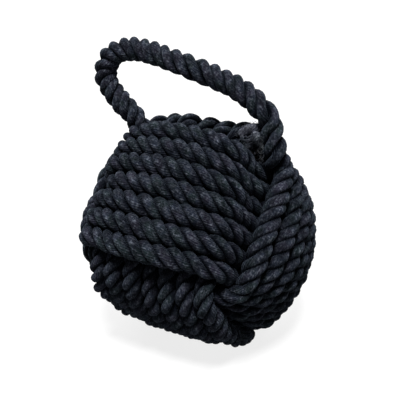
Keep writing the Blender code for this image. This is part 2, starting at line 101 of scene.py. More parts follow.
# where the knot is out of shape: the middle of each dent, how far it reaches, and its shift
dents = {
    "cornerOnFloor": ((0.0420, -0.0170, 0.0070), 0.017, (0.0074, 0.0036, 0.0004)),
    "topRight": ((0.0510, -0.0230, 0.1270), 0.016, (0.0005, -0.0016, -0.0042)),
    "rightSide": ((0.0645, 0.0327, 0.1004), 0.022, (0.0014, 0.0007, 0.0008)),
    "leftShoulder": ((-0.0500, -0.0200, 0.1370), 0.012, (-0.0017, -0.0008, 0.0013)),
    "leftTop": ((-0.0680, -0.0300, 0.1040), 0.016, (0.0014, 0.0007, 0)),
    "leftMiddle": ((-0.0480, -0.0680, 0.0900), 0.012, (-0.0017, -0.0008, -0.0005)),
    "leftLow": ((-0.0560, -0.0590, 0.0720), 0.009, (0.0013, 0.0006, 0)),
    "leftBottom": ((-0.0404, -0.0682, 0.0589), 0.018, (-0.0013, -0.0006, -0.0004)),
}
handle = {
    "hinges": ((0.0542, 0.1605), (-0.0523, 0.1605)),
    "route": ((0.0535, 0.1665), (0.0490, 0.1715), (0.0320, 0.1840), (0.0030, 0.1940),
              (-0.0320, 0.2038), (-0.0500, 0.2063), (-0.0668, 0.2015), (-0.0737, 0.1905),
              (-0.0716, 0.1800), (-0.0625, 0.1685)),
    "feet": ((0.0561, -0.0045, 0.1420), (-0.0422, 0, 0.1455)), "footDiameter": 0.0105,
    "footSpots": 10, "footGap": 0.0003, "pinchedFrom": 0.17,
    "insideRight": ((0.0490, 0.0130, 0.1290), (0.0560, 0.0040, 0.1345), (0.0585, -0.0035, 0.1420),
                    (0.0580, -0.0035, 0.1500)),
    "insideLeft": ((-0.0422, 0, 0.1455), (-0.0385, 0.0015, 0.1385)),
    "ringStep": 0.0011, "curveSteps": 16, "shown": 0.0166, "growsOver": 0.014,
    "widerRoot": 0.07, "widerFrom": 0.022, "widerOver": 0.014,
    "rootShade": 0.55, "shadedRings": 16,       # full for these, and then fading over as many
    "layLength": 0.0285, "layInBend": 0.0225, "widening": 0.86, "seed": 307,
    "bendLeftOf": -0.020, "bendOver": 0.035, "bendAbove": 0.165, "bendRise": 0.015,
    "bendsFrom": 0.1475, "bendsTo": 0.1725,     # heights between which the rope takes up the swing
}


def ease(x):
    x = np.clip(x, 0, 1)
    return x ** 3 * (x * (6 * x - 15) + 10)


def knotToFloor():
    lean = Matrix.Rotation(stance["leaningRight"], 4, "Y")
    tip = Matrix.Rotation(-stance["tippedBack"], 4, "X")
    return Matrix.Translation(stance["centre"]) @ lean @ tip


def moved(points, matrix):
    turned = np.array(matrix)
    return points @ turned[:3, :3].T + turned[:3, 3]


def laidTurns(facts, pastStart, pastEnd):
    # one set as it is first laid: its points, and 1 on an outer face, 0 where it is hidden
    start = math.radians(facts["start"])
    begin, end = start + pastStart, start + winding["turns"] * 2 * math.pi + pastEnd
    count = round((end - begin) / (2 * math.pi) * winding["laidPoints"])
    angle = np.linspace(begin, end, count + 1)
    crossing = np.round((angle - start) / (2 * math.pi))
    past = angle - start - crossing * 2 * math.pi
    middle = (winding["turns"] - 1) / 2
    turn = np.clip(crossing - 1 - middle + ease(past / winding["climb"] + 0.5), -middle, middle)
    near = np.cos(angle) > 0
    face = turn * np.where(near, facts["pitchNear"], facts["pitchFar"])
    hidden = turn * facts["pitchHidden"]
    round1, round2, round3 = winding["faceRound"], winding["hiddenRound"], winding["edgeRound"]
    halfOut = (facts["halfOut"] ** round1 - np.abs(face) ** round1) ** (1 / round1)
    halfAcross = (facts["halfAcross"] ** round2 - np.abs(hidden) ** round2) ** (1 / round2)
    reach = np.abs(np.cos(angle) / halfOut) ** round3 + np.abs(np.sin(angle) / halfAcross) ** round3
    reach = reach ** (-1 / round3)
    out, across = reach * np.cos(angle), reach * np.sin(angle)
    wide = winding["hiddenShare"] - winding["faceShare"]
    share = 1 - ease((np.abs(across) / halfAcross - winding["faceShare"]) / wide)
    share = np.where(np.abs(out) < halfOut / 2, 0, share)
    pull = np.where(near, facts["shiftNear"], facts["shiftFar"])
    along = hidden + (face - hidden + pull) * share
    points = np.outer(out + facts["shiftOut"], facts["out"])
    points += np.outer(across + facts["shiftAcross"], facts["across"])
    return points + np.outer(along, facts["stack"]), share


def closePairs(points, owner, within, skip):
    squares = (points ** 2).sum(1)
    apart = squares[:, None] + squares[None, :] - 2 * points @ points.T
    one, other = np.nonzero(np.triu(apart < within ** 2, 1))
    kept = (owner[one] != owner[other]) | (np.abs(one - other) >= skip)
    return one[kept], other[kept]


def pushes(points, radii, free, one, other, clearance):
    gap = points[one] - points[other]
    far = np.linalg.norm(gap, axis=1)
    missing = radii[one] + radii[other] + clearance - far
    tight = missing > 0
    one, other = one[tight], other[tight]
    move = gap[tight] / far[tight, None] * missing[tight, None]
    both = np.maximum(free[one] + free[other], 1)
    total = np.zeros_like(points)
    np.add.at(total, one, move * (free[one] / both)[:, None])
    np.add.at(total, other, -move * (free[other] / both)[:, None])
    met = np.bincount(one, minlength=len(points)) + np.bincount(other, minlength=len(points))
    return winding["pushed"] * total / np.maximum(met, 1)[:, None]


def pulledTight(ropes, radii, roots, floor):
    # each turn shortens until it bears on its neighbours, the core, the roots or the floor
    clearance, nearby = (winding[kind] * rope["diameter"] for kind in ("clearance", "nearby"))
    sizes = [len(line) for line in ropes]
    ends = np.cumsum(sizes)
    moving = ends[-1]
    points = np.concatenate(ropes + [roots[:, :3]])
    first = points[:moving].copy()
    full = np.concatenate(radii + [roots[:, 3]])
    owner = np.concatenate([np.repeat(np.arange(len(ropes)), sizes), np.full(len(roots), len(ropes))])
    free = (np.arange(len(points)) < moving).astype(float)
    inside = np.ones(moving, bool)
    inside[ends - 1] = False
    inside[ends[:-1]] = False
    inside[0] = False
    middle = np.array(winding["coreMiddle"])
    for step in range(winding["steps"]):
        late = min(1, (winding["steps"] - step) / winding["settling"])
        thin = winding["thin"]
        radius = full * min(1, thin + (1 - thin) * step / winding["swelling"])
        tension = winding["tension"] * (1 if late == 1 else winding["lateTension"] * late)
        hold = winding["hold"] * (1 if late == 1 else winding["lateHold"] * late)
        line = points[:moving]
        mean = line.copy()
        mean[1:-1] = (line[2:] + line[:-2]) / 2
        line += np.where(inside[:, None], tension * (mean - line), 0) + hold * (first - line)
        if step % winding["pairsEvery"] == 0:
            one, other = closePairs(points, owner, nearby, winding["ownRings"])
            rooted = (owner[one] == len(ropes)) & (owner[other] == len(ropes))
            one, other = one[~rooted], other[~rooted]
        along = np.zeros_like(points)
        along[1:moving - 1] = points[2:moving] - points[:moving - 2]
        along[ends - 1] = 0
        along[ends[:-1]] = 0
        along /= np.maximum(np.linalg.norm(along, axis=1), 1e-9)[:, None]
        for again in range(winding["pushesEach"]):
            move = pushes(points, radius, free, one, other, clearance)
            points = points + move - along * (move * along).sum(1)[:, None]
        line = points[:moving]
        half = np.array(winding["coreHalf"]) + radius[:moving, None]
        size = (np.abs((line - middle) / half) ** winding["coreRound"]).sum(1)
        size = size ** (1 / winding["coreRound"])
        line += (line - middle) * np.maximum(0, 1 / size - 1)[:, None]
        height = (line - floor[0]) @ floor[1]
        line += np.outer(np.maximum(0, radius[:moving] - height), floor[1])
    return np.split(points[:moving], ends[:-1])


def curvedThrough(points, parts):
    # a smooth curve through the points, with this many steps between each two
    ends = np.concatenate([[2 * points[0] - points[1]], points, [2 * points[-1] - points[-2]]])
    a, b, c, d = ends[:-3, None], ends[1:-2, None], ends[2:-1, None], ends[3:, None]
    t = (np.arange(parts) / parts)[None, :, None]
    between = 2 * b + (c - a) * t + (2 * a - 5 * b + 4 * c - d) * t ** 2
    between = (between + (3 * b - a - 3 * c + d) * t ** 3) / 2
    return np.concatenate([between.reshape(-1, points.shape[1]), points[-1:]])


def evenly(line, step):
    # the same values at even steps along the line; the first three columns are its points
    length = np.concatenate([[0], np.cumsum(np.linalg.norm(np.diff(line[:, :3], axis=0), axis=1))])
    at = np.linspace(0, length[-1], max(2, round(length[-1] / step) + 1))
    return np.stack([np.interp(at, length, line[:, axis]) for axis in range(line.shape[1])], 1)


def smoothed(line, reach):
    # each point averaged with those within this many steps, the ends kept
    weight = np.hanning(2 * reach + 3)[1:-1]
    weight /= weight.sum()
    before, after = 2 * line[0] - line[reach:0:-1], 2 * line[-1] - line[-2:-reach - 2:-1]
    padded = np.concatenate([before, line, after])
    return np.stack([np.convolve(padded[:, axis], weight, "valid") for axis in range(line.shape[1])], 1)


def upright(places):
    return np.array([(x, 0, z) for x, z in places])


def rootSpots(hinge, foot, count):
    topEnd, bottom = upright([hinge])[0], np.array(foot)
    down = (bottom - topEnd) / np.linalg.norm(bottom - topEnd)
    share = np.linspace(0, 1, count)
    start = topEnd + down * (rope["diameter"] / 2 + handle["footGap"])
    pinched = ease((share - handle["pinchedFrom"]) / (1 - handle["pinchedFrom"]))
    size = (rope["diameter"] + (handle["footDiameter"] - rope["diameter"]) * pinched) / 2
    return np.column_stack([start + (bottom - start) * share[:, None], size])


def dented(points):
    # the knot is a little out of shape, as it was left by hand and by its own weight
    moves = np.zeros_like(points)
    for middle, reach, shift in dents.values():
        far = np.linalg.norm(points - np.array(middle), axis=1)
        moves += np.outer(np.exp(-(far / reach) ** 2), shift)
    return points + moves


def woundRopes():
    toFloor = knotToFloor()
    toKnot = np.array(toFloor.inverted())
    ends = zip(handle["hinges"], handle["feet"])
    roots = np.concatenate([rootSpots(hinge, foot, handle["footSpots"]) for hinge, foot in ends])
    roots[:, :3] = moved(roots[:, :3], toKnot)
    floorNormal = toKnot[:3, :3] @ np.array((0, 0, 1))
    floorPoint = toKnot[:3, :3] @ np.array((0, 0, -winding["pressed"])) + toKnot[:3, 3]
    lines, radii, shares = [], [], []
    for name, facts in sets.items():
        pastEnd = winding["tailReach"] - math.pi / 2 if name == "third_turns" else -winding["tucked"]
        points, share = laidTurns(facts, winding["tucked"], pastEnd)
        lines.append(points)
        shares.append(share)
        radii.append((rope["buried"] + (rope["squeezed"] - rope["buried"]) * share) / 2)
    lines = pulledTight(lines, radii, roots, (floorPoint, floorNormal))
    found = {}
    for name, line, share in zip(sets, lines, shares):
        shown = (rope["shownBuried"] + (rope["shownOnFace"] - rope["shownBuried"]) * share) / 2
        placed = dented(moved(line, toFloor) + stance["centred"])
        curve = curvedThrough(np.column_stack([placed, shown]), rope["curveSteps"])
        full = evenly(curve, rope["ringStep"])
        found[name] = smoothed(full, rope["smoothedOver"])
    return found


def handleLine():
    rightHinge, leftHinge = handle["hinges"]
    spots = upright((rightHinge,) + handle["route"] + (leftHinge,))
    spots = np.concatenate([handle["insideRight"], spots, handle["insideLeft"]])
    curve = curvedThrough(spots + stance["centred"], handle["curveSteps"])
    line = evenly(curve, handle["ringStep"])
    length = np.arange(len(line)) * handle["ringStep"]
    grown = ease(np.minimum(length, length[::-1]) / handle["growsOver"])
    size = handle["footDiameter"] + (handle["shown"] - handle["footDiameter"]) * grown
    size = size * (1 + handle["widerRoot"] * ease(1 - (length - handle["widerFrom"]) / handle["widerOver"]))
    return smoothed(np.column_stack([line, size / 2]), rope["smoothedOver"])


def steadyFrames(line):
    # directions across the line that don't twist round it
    heading = np.gradient(line, axis=0)
    heading /= np.linalg.norm(heading, axis=1)[:, None]
    side = np.cross(heading[0], (0.3, 0.2, 1))
    side /= np.linalg.norm(side)
    sides = [side]
    for before, after in zip(heading[:-1], heading[1:]):
        side = side - after * (side @ after)
        side = side / np.linalg.norm(side)
        sides.append(side)
    sides = np.array(sides)
    return heading, sides, np.cross(heading, sides)


def wobble(count, period, seed):
    # a slow, even-tempered wander between about -1 and 1
    draw = np.random.default_rng(seed)
    place = np.arange(count) / period
    total = np.zeros(count)
    for part in range(6):
        total += np.sin(2 * math.pi * place * draw.uniform(0.35, 1.6) + draw.uniform(0, 2 * math.pi))
    return total / 2.6


def uneven(kind, count, seed):
    amount, period = rope[kind]
    return amount * wobble(count, period, seed)


def folds(laid, around, seed):
    # shallow folds in a strand's skin, which run roughly along the rope as its yarns do
    draw = np.random.default_rng(seed)
    total = np.zeros((len(laid), len(around)))
    yarns = around[None] + 2 * math.pi * rope["untwist"] * laid[:, None]
    for number in range(rope["folds"]):
        across, along = draw.choice((1, 2, 3)), draw.uniform(0.6, 4.5)
        total += np.sin(across * yarns + 2 * math.pi * (along * laid[:, None] + draw.uniform()))
    return total / 3.5


def laidStrands(line, seed, layLength, widening=rope["widening"]):
    # the three strands of a rope along the line: each one's middle, headings and radius at each ring
    points, radius = line[:, :3], line[:, 3]
    heading, side, up = steadyFrames(points)
    step = np.linalg.norm(np.diff(points, axis=0), axis=1)
    laid = np.concatenate([[0], np.cumsum(step / np.broadcast_to(layLength, len(step)))])
    laid += uneven("unevenLay", len(line), seed)
    strands = []
    for number in range(3):
        angle = 2 * math.pi * (laid + number / 3)
        angle = angle + uneven("unevenTurn", len(line), seed + 11 + number)
        outward = side * np.cos(angle)[:, None] + up * np.sin(angle)[:, None]
        lift = 1 + uneven("unevenLift", len(line), seed + 23 + number)
        middle = points + outward * (radius * rope["centreShare"] * lift)[:, None]
        onward = np.gradient(middle, axis=0)
        onward /= np.linalg.norm(onward, axis=1)[:, None]
        outward = outward - onward * (outward * onward).sum(1)[:, None]
        outward /= np.linalg.norm(outward, axis=1)[:, None]
        width = radius * rope["strandShare"]
        width = width * (1 + uneven("unevenWidth", len(line), seed + 37 + number))
        strands.append({"middle": middle, "outward": outward, "beside": np.cross(onward, outward),
                        "radius": width, "wide": widening, "laid": laid, "seed": seed + 53 + number})
    return strands


def strandSkin(strands, first, last, middles, sides=rope["sides"]):
    # strands between two rings: vertices, faces, UV by face corner, and two attributes, which are how
    # far out of the rope a spot lies and how open it is
    around = (np.arange(sides) / sides - 0.5) * 2 * math.pi
    vertices, faces, corners, crest, free = [], [], [], [], []
    base = 0
    for strand in strands:
        middle = strand["middle"][first:last]
        rings = len(middle)
        deep = np.ones((rings, sides))
        if "seed" in strand:
            deep += rope["folded"] * folds(strand["laid"], around, strand["seed"])[first:last]
        deep = (strand["radius"][first:last, None] * deep)[:, :, None]
        shape = strand["outward"][first:last, None] * (np.cos(around)[None, :, None] * deep)
        shape = shape + strand["beside"][first:last, None] * (
            np.sin(around)[None, :, None] * deep * strand["wide"])
        vertices.append((middle[:, None] + shape).reshape(-1, 3))
        looked = np.unique(np.append(np.arange(0, rings, rope["coverEvery"]), rings - 1))
        way = shape[looked] / np.linalg.norm(shape[looked], axis=2)[:, :, None]
        places = middle[looked, None] + shape[looked]
        seen = openness(places.reshape(-1, 3), way.reshape(-1, 3), middles).reshape(len(looked), sides)
        filled = [np.interp(np.arange(rings), looked, seen[:, side]) for side in range(sides)]
        free.append(np.stack(filled, 1).ravel())
        outermost = (1 + np.cos(around)) / 2 if "seed" in strand else np.ones(sides)
        crest.append(np.tile(outermost, rings))
        ring, spot = np.meshgrid(np.arange(rings - 1), np.arange(sides), indexing="ij")
        ring, spot = ring.ravel(), spot.ravel()
        beside = (spot + 1) % sides
        face = np.stack([ring * sides + spot, ring * sides + beside,
                         (ring + 1) * sides + beside, (ring + 1) * sides + spot], 1)
        faces.append(face + base)
        laid = strand["laid"][first:last]
        across = np.stack([spot, spot + 1, spot + 1, spot], 1) / sides
        along = np.stack([laid[ring], laid[ring], laid[ring + 1], laid[ring + 1]], 1)
        corners.append(np.stack([along, across], 2).reshape(-1, 2))
        base += rings * sides
    return [np.concatenate(values) for values in (vertices, faces, corners, crest, free)]


def openness(places, outward, middles):
    # 1 where a spot lies open, less the more rope lies over and beside it; the cotton's colour is darkened
    # by it as painted shade
    found, atOnce = np.ones(len(places), np.float32), 1500
    places, outward, middles = (values.astype(np.float32) for values in (places, outward, middles))
    for first in range(0, len(places), atOnce):
        part = slice(first, first + atOnce)
        gap = middles[None] - places[part, None]
        far = np.maximum((gap ** 2).sum(2), rope["coverNearest"] ** 2)
        facing = np.einsum("ijk,ik->ij", gap, outward[part]) / np.sqrt(far)
        cover = np.clip(facing, 0, 1) * np.where(far < rope["coverReach"] ** 2, 1 / far, 0)
        found[part] = np.exp(-rope["coverWeight"] * cover.sum(1))
    return found


def newPiece(name, mesh, look):
    piece = bpy.data.objects.new(name, mesh)
    bpy.context.scene.collection.objects.link(piece)
    mesh.materials.append(look)
    return piece


def strandMesh(name, skins, look):
    # one mesh of several skins, each strand closed by a fan at both ends
    vertices, faces, corners, crest, free = [], [], [], [], []
    base = 0
    for skin in skins:
        vertices.append(skin[0])
        faces.append(skin[1] + base)
        corners.append(skin[2])
        crest.append(skin[3])
        free.append(skin[4])
        base += len(skin[0])
    vertices, faces = np.concatenate(vertices), np.concatenate(faces)
    mesh = bpy.data.meshes.new(name)
    mesh.from_pydata(vertices.tolist(), [], faces.tolist())
    layer = mesh.uv_layers.new(name="lay")
    layer.data.foreach_set("uv", np.concatenate(corners).astype(np.float32).ravel())
    for label, values in (("crest", crest), ("open", free)):
        height = mesh.attributes.new(label, "FLOAT", "POINT")
        height.data.foreach_set("value", np.concatenate(values).astype(np.float32))
    mesh.polygons.foreach_set("use_smooth", np.ones(len(faces), bool))
    piece = newPiece(name, mesh, look)
    closeEnds(piece)
    return piece


def closeEnds(piece):
    bpy.ops.object.select_all(action="DESELECT")
    bpy.context.view_layer.objects.active = piece
    piece.select_set(True)
    bpy.ops.object.mode_set(mode="EDIT")
    bpy.ops.mesh.select_mode(type="EDGE")
    bpy.ops.mesh.select_all(action="DESELECT")
    bpy.ops.mesh.select_non_manifold(extend=False, use_wire=False, use_boundary=True,
                                     use_multi_face=False, use_non_contiguous=False, use_verts=False)
    bpy.ops.mesh.fill_holes(sides=0)
    bpy.ops.mesh.select_all(action="SELECT")
    bpy.ops.mesh.normals_make_consistent(inside=False)
    bpy.ops.object.mode_set(mode="OBJECT")
    piece.select_set(False)


def pressedFlat(piece):
    # nothing of the rope goes below the floor
    mesh = piece.data
    places = np.empty(len(mesh.vertices) * 3, np.float32)
    mesh.vertices.foreach_get("co", places)
    places = places.reshape(-1, 3)
    places[:, 2] = np.maximum(places[:, 2], 0)
    mesh.vertices.foreach_set("co", places.ravel())
    mesh.update()


# Materials
def newMaterial(name, roughness, sheen, sheenTint):
    made = bpy.data.materials.new(name)
    made.use_nodes = True
    shader = made.node_tree.nodes["Principled BSDF"]
    shader.inputs["Roughness"].default_value = roughness
    shader.inputs["Specular IOR Level"].default_value = 0.02
    shader.inputs["Sheen Weight"].default_value = sheen
    shader.inputs["Sheen Roughness"].default_value = 0.45
    shader.inputs["Sheen Tint"].default_value = (*sheenTint, 1)
    return made, made.node_tree, shader


class Nodes:
    # short ways to add nodes to one material
    def __init__(self, tree):
        self.tree = tree

    def add(self, kind, **settings):
        added = self.tree.nodes.new(kind)
        for key, value in settings.items():
            setattr(added, key, value)
        return added

    def feed(self, value, socket):
        if isinstance(value, tuple):
            socket.default_value = (*value, 1)
        elif isinstance(value, (int, float)):
            socket.default_value = value
        else:
            self.tree.links.new(value, socket)

    def maths(self, operation, *values):
        added = self.add("ShaderNodeMath", operation=operation)
        for index, value in enumerate(values):
            self.feed(value, added.inputs[index])
        return added.outputs[0]

    def noise(self, source, scale, detail, roughness=0.6):
        added = self.add("ShaderNodeTexNoise")
        values = {"Scale": scale, "Detail": detail, "Roughness": roughness, "Vector": source}
        for label, value in values.items():
            self.feed(value, added.inputs[label])
        return added.outputs[0]

    def spread(self, value, low, high, toLow, toHigh):
        added = self.add("ShaderNodeMapRange", interpolation_type="SMOOTHSTEP")
        values = {"Value": value, "From Min": low, "From Max": high, "To Min": toLow, "To Max": toHigh}
        for label, number in values.items():
            self.feed(number, added.inputs[label])
        return added.outputs[0]

    def mixed(self, factor, first, second, blend="MIX"):
        added = self.add("ShaderNodeMix", data_type="RGBA", blend_type=blend)
        for label, value in (("Factor", factor), ("A", first), ("B", second)):
            self.feed(value, added.inputs[label])
        return added.outputs["Result"]

    def grey(self, value):
        added = self.add("ShaderNodeCombineColor")
        for index in range(3):
            self.feed(value, added.inputs[index])
        return added.outputs[0]

    def bump(self, height, strength, distance, shader):
        added = self.add("ShaderNodeBump")
        for label, value in (("Strength", strength), ("Distance", distance), ("Height", height)):
            self.feed(value, added.inputs[label])
        self.feed(added.outputs[0], shader.inputs["Normal"])


def cottonMaterial(name, facts):
    # yarns that run along the rope over each strand, lint on the crests, and painted shade in the creases
    # and where rope lies over rope
    made, tree, shader = newMaterial(name, facts["roughness"], facts["sheen"], facts["sheenTint"])
    nodes = Nodes(tree)
    uv = nodes.add("ShaderNodeUVMap", uv_map="lay").outputs[0]
    parts = nodes.add("ShaderNodeSeparateXYZ")
    nodes.feed(uv, parts.inputs[0])
    along, across = parts.outputs[0], parts.outputs[1]
    yarn = nodes.maths("MULTIPLY_ADD", along, facts["yarns"] * rope["untwist"],
                       nodes.maths("MULTIPLY", across, facts["yarns"]))
    place = nodes.add("ShaderNodeCombineXYZ")
    nodes.feed(yarn, place.inputs[0])
    nodes.feed(nodes.maths("MULTIPLY", along, facts["streakRate"]), place.inputs[1])
    spot = nodes.add("ShaderNodeTexCoord").outputs["Object"]
    ridge = nodes.maths("ABSOLUTE", nodes.maths("SINE", nodes.maths("MULTIPLY", yarn, math.pi)))
    streaks = nodes.noise(place.outputs[0], facts["streakScale"], 3)
    lint = nodes.noise(spot, facts["lintScale"], 3, 0.65)
    patches = nodes.noise(spot, facts["patchScale"], 2)
    tints = nodes.noise(spot, facts["tintScale"], 1)
    crest = nodes.add("ShaderNodeAttribute", attribute_name="crest").outputs["Fac"]
    free = nodes.add("ShaderNodeAttribute", attribute_name="open").outputs["Fac"]

    tinted = nodes.mixed(nodes.spread(tints, 0.38, 0.48, 0, 1), facts["green"], facts["colour"])
    tinted = nodes.mixed(nodes.spread(tints, 0.52, 0.62, 0, 1), tinted, facts["violet"])
    dusty = nodes.maths("MULTIPLY", nodes.spread(lint, 0.46, 0.66, 0, 1),
                        nodes.spread(streaks, 0.3, 0.7, 0.45, 1))
    bright = nodes.maths("MULTIPLY", nodes.spread(streaks, 0.28, 0.72, facts["dim"], 2 - facts["dim"]),
                         nodes.spread(patches, 0.34, 0.66, facts["uneven"], 2 - facts["uneven"]))
    varied = nodes.mixed(1.0, nodes.mixed(dusty, tinted, facts["dust"]), nodes.grey(bright), "MULTIPLY")
    # painted shade: the colour goes dark towards each strand's sides, where the creases are, and where
    # other rope lies close over it
    shown = nodes.maths("MULTIPLY", nodes.spread(crest, facts["creaseFrom"], facts["creaseTo"], 0, 1),
                        nodes.maths("POWER", free, facts["coverShade"]))
    nodes.feed(nodes.mixed(shown, facts["paintedShade"], varied), shader.inputs["Base Color"])

    relief = nodes.maths("MULTIPLY_ADD", ridge, facts["ridges"], nodes.maths("MULTIPLY", streaks, 1.3))
    relief = nodes.maths("MULTIPLY_ADD", lint, 0.9, relief)
    nodes.bump(relief, facts["bump"], facts["bumpDepth"], shader)
    return made


cotton = {
    "colour": (0.0185, 0.023, 0.035), "green": (0.016, 0.024, 0.0275), "violet": (0.0235, 0.0235, 0.0365),
    # painted shade: the first colour below is what the creases and covered spots are darkened to
    "paintedShade": (0.0004, 0.0008, 0.0024), "dust": (0.102, 0.114, 0.140),
    "creaseFrom": 0.46, "creaseTo": 0.94, "coverShade": 2.2, "dim": 0.66, "uneven": 0.52,
    "yarns": 12, "streakRate": 10.0, "streakScale": 0.75,
    "lintScale": 640, "patchScale": 130, "tintScale": 85,
    "roughness": 0.95, "sheen": 0.07, "sheenTint": (0.60, 0.75, 1.0),
    "ridges": 0.45, "bump": 0.85, "bumpDepth": 0.0012,
}
cutCotton = dict(
    cotton, colour=(0.058, 0.067, 0.087), green=(0.051, 0.064, 0.074), violet=(0.062, 0.064, 0.085),
    dust=(0.22, 0.235, 0.27), creaseFrom=0.30, creaseTo=0.75, coverShade=0.3)
lintCotton = dict(
    cutCotton, colour=(0.16, 0.17, 0.19), green=(0.13, 0.15, 0.16), violet=(0.15, 0.15, 0.18))
brownCotton = dict(
    cutCotton, colour=(0.070, 0.052, 0.040), green=(0.05, 0.045, 0.036), violet=(0.09, 0.065, 0.05),
    dust=(0.12, 0.095, 0.075), coverShade=1.0)
juteTwine = dict(
    cotton, colour=(0.30, 0.24, 0.16), green=(0.26, 0.22, 0.14), violet=(0.33, 0.25, 0.17),
    paintedShade=(0.06, 0.045, 0.03), dust=(0.45, 0.38, 0.28), yarns=5, coverShade=0.4, sheenTint=(1, 0.9, 0.7))
navyCotton = cottonMaterial("navyCotton", cotton)
handleCotton = cottonMaterial("handleCotton", dict(cotton, creaseFrom=0.48, creaseTo=0.88))
cutEnd = cottonMaterial("cutCotton", cutCotton)
lightLint = cottonMaterial("lightLint", lintCotton)
brownLint = cottonMaterial("brownLint", brownCotton)
jute = cottonMaterial("juteTwine", juteTwine)


canvasLook = {
    "colour": (0.27, 0.23, 0.18), "slub": (0.37, 0.33, 0.26), "stain": (0.22, 0.18, 0.13),
    "gap": (0.12, 0.10, 0.075),
    "threadRate": 3600, "slubScale": 160, "stainScale": 30, "bump": 0.6, "bumpDepth": 0.0004,
}


def canvasMaterial(facts):
    # plain weave with slubs, unbleached
    made, tree, shader = newMaterial("bagCanvas", 0.9, 0.1, (1, 0.95, 0.85))
    nodes = Nodes(tree)
    spot = nodes.add("ShaderNodeTexCoord").outputs["Object"]
    parts = nodes.add("ShaderNodeSeparateXYZ")
    nodes.feed(spot, parts.inputs[0])
    waves = [nodes.maths("MULTIPLY", part, facts["threadRate"]) for part in parts.outputs]
    threads = [nodes.maths("ABSOLUTE", nodes.maths("SINE", wave)) for wave in waves]
    weave = nodes.maths("MULTIPLY", nodes.maths("MULTIPLY", threads[0], threads[1]), threads[2])
    slubs = nodes.spread(nodes.noise(spot, facts["slubScale"], 3), 0.35, 0.65, 0, 1)
    stains = nodes.spread(nodes.noise(spot, facts["stainScale"], 2), 0.5, 0.8, 0, 0.5)
    cloth = nodes.mixed(slubs, facts["colour"], facts["slub"])
    cloth = nodes.mixed(stains, cloth, facts["stain"])
    cloth = nodes.mixed(nodes.spread(weave, 0, 0.5, 0.55, 0), cloth, facts["gap"])
    nodes.feed(cloth, shader.inputs["Base Color"])
    nodes.bump(weave, facts["bump"], facts["bumpDepth"], shader)
    return made


sandLook = {
    "dark": (0.33, 0.25, 0.15), "light": (0.55, 0.45, 0.32), "darkest": (0.12, 0.09, 0.07),
    "grainScale": 1300, "dampScale": 60, "bump": 0.7, "bumpDepth": 0.0005,
}


def sandMaterial(facts):
    # grains of several browns, a few of them dark
    made, tree, shader = newMaterial("drySand", 0.85, 0, (1, 1, 1))
    nodes = Nodes(tree)
    spot = nodes.add("ShaderNodeTexCoord").outputs["Object"]
    grains = nodes.add("ShaderNodeTexVoronoi")
    nodes.feed(spot, grains.inputs["Vector"])
    grains.inputs["Scale"].default_value = facts["grainScale"]
    parts = nodes.add("ShaderNodeSeparateColor")
    nodes.feed(grains.outputs["Color"], parts.inputs[0])
    tone = nodes.mixed(parts.outputs[0], facts["dark"], facts["light"])
    tone = nodes.mixed(nodes.spread(parts.outputs[1], 0.86, 0.90, 0, 1), tone, facts["darkest"])
    damp = nodes.spread(nodes.noise(spot, facts["dampScale"], 2), 0.35, 0.65, 0.8, 1.1)
    nodes.feed(nodes.mixed(1.0, tone, nodes.grey(damp), "MULTIPLY"), shader.inputs["Base Color"])
    nodes.bump(grains.outputs["Distance"], facts["bump"], facts["bumpDepth"], shader)
    return made


canvas = canvasMaterial(canvasLook)
drySand = sandMaterial(sandLook)
print("materials made")

# The cut tail, which has come open
tail = {
    "length": 0.034, "opensOver": 0.026, "lift": (-0.0012, -0.0014, 0.0068), "wider": 1.40, "seed": 29,
    "yarns": 64, "yarnSize": 0.0012, "yarnLength": (0.003, 0.006),
    "sunk": 0.003, "spiral": 2.4, "spread": 0.8, "flare": 0.25, "gathered": 0.75, "stray": 0.15,
    "hairs": 240, "hairyRings": 12, "hairsFace": (-0.35, -1.00, 0.10),
    "hairSize": 0.00024, "hairLength": (0.0015, 0.0040), "hairSunk": 0.9, "hairLean": 0.8, "hairStray": 0.3,
    "root": (20, 35), "rootHairs": 70, "rootFaces": (-1.9, -0.9, 0),
    "hollow": ((0.040, -0.012, 0.138), (0.050, 0.000, 0.146)), "hollowHairs": 60,
    "threadRings": 8, "thinned": 0.5, "bend": 0.35, "curl": 0.10, "curls": 5, "droop": 0.25,
}


def openedTail(line):
    # the rope's last stretch lifts and grows thicker as its strands come apart
    count = round(tail["opensOver"] / rope["ringStep"])
    share = np.zeros(len(line))
    share[-count:] = ease(np.linspace(0, 1, count))
    opened = line.copy()
    opened[:, :3] += np.outer(share, tail["lift"])
    opened[:, 3] *= 1 + (tail["wider"] - 1) * share
    return opened


def thread(start, heading, length, size, draw):
    # one loose yarn or hair, which wanders off its heading and droops
    heading = heading / np.linalg.norm(heading)
    share = np.linspace(0, 1, tail["threadRings"])
    bend, curl = draw.normal(0, tail["bend"], 3), draw.normal(0, tail["curl"], 3)
    path = start + length * (np.outer(share, heading) + np.outer(share ** 2, bend)
                             + np.outer(np.sin(tail["curls"] * share) * share, curl))
    path[:, 2] -= tail["droop"] * length * share ** 2
    side, up = steadyFrames(path)[1:]
    return {"middle": path, "outward": side, "beside": up,
            "radius": size / 2 * (1 - tail["thinned"] * share), "wide": 1, "laid": share}


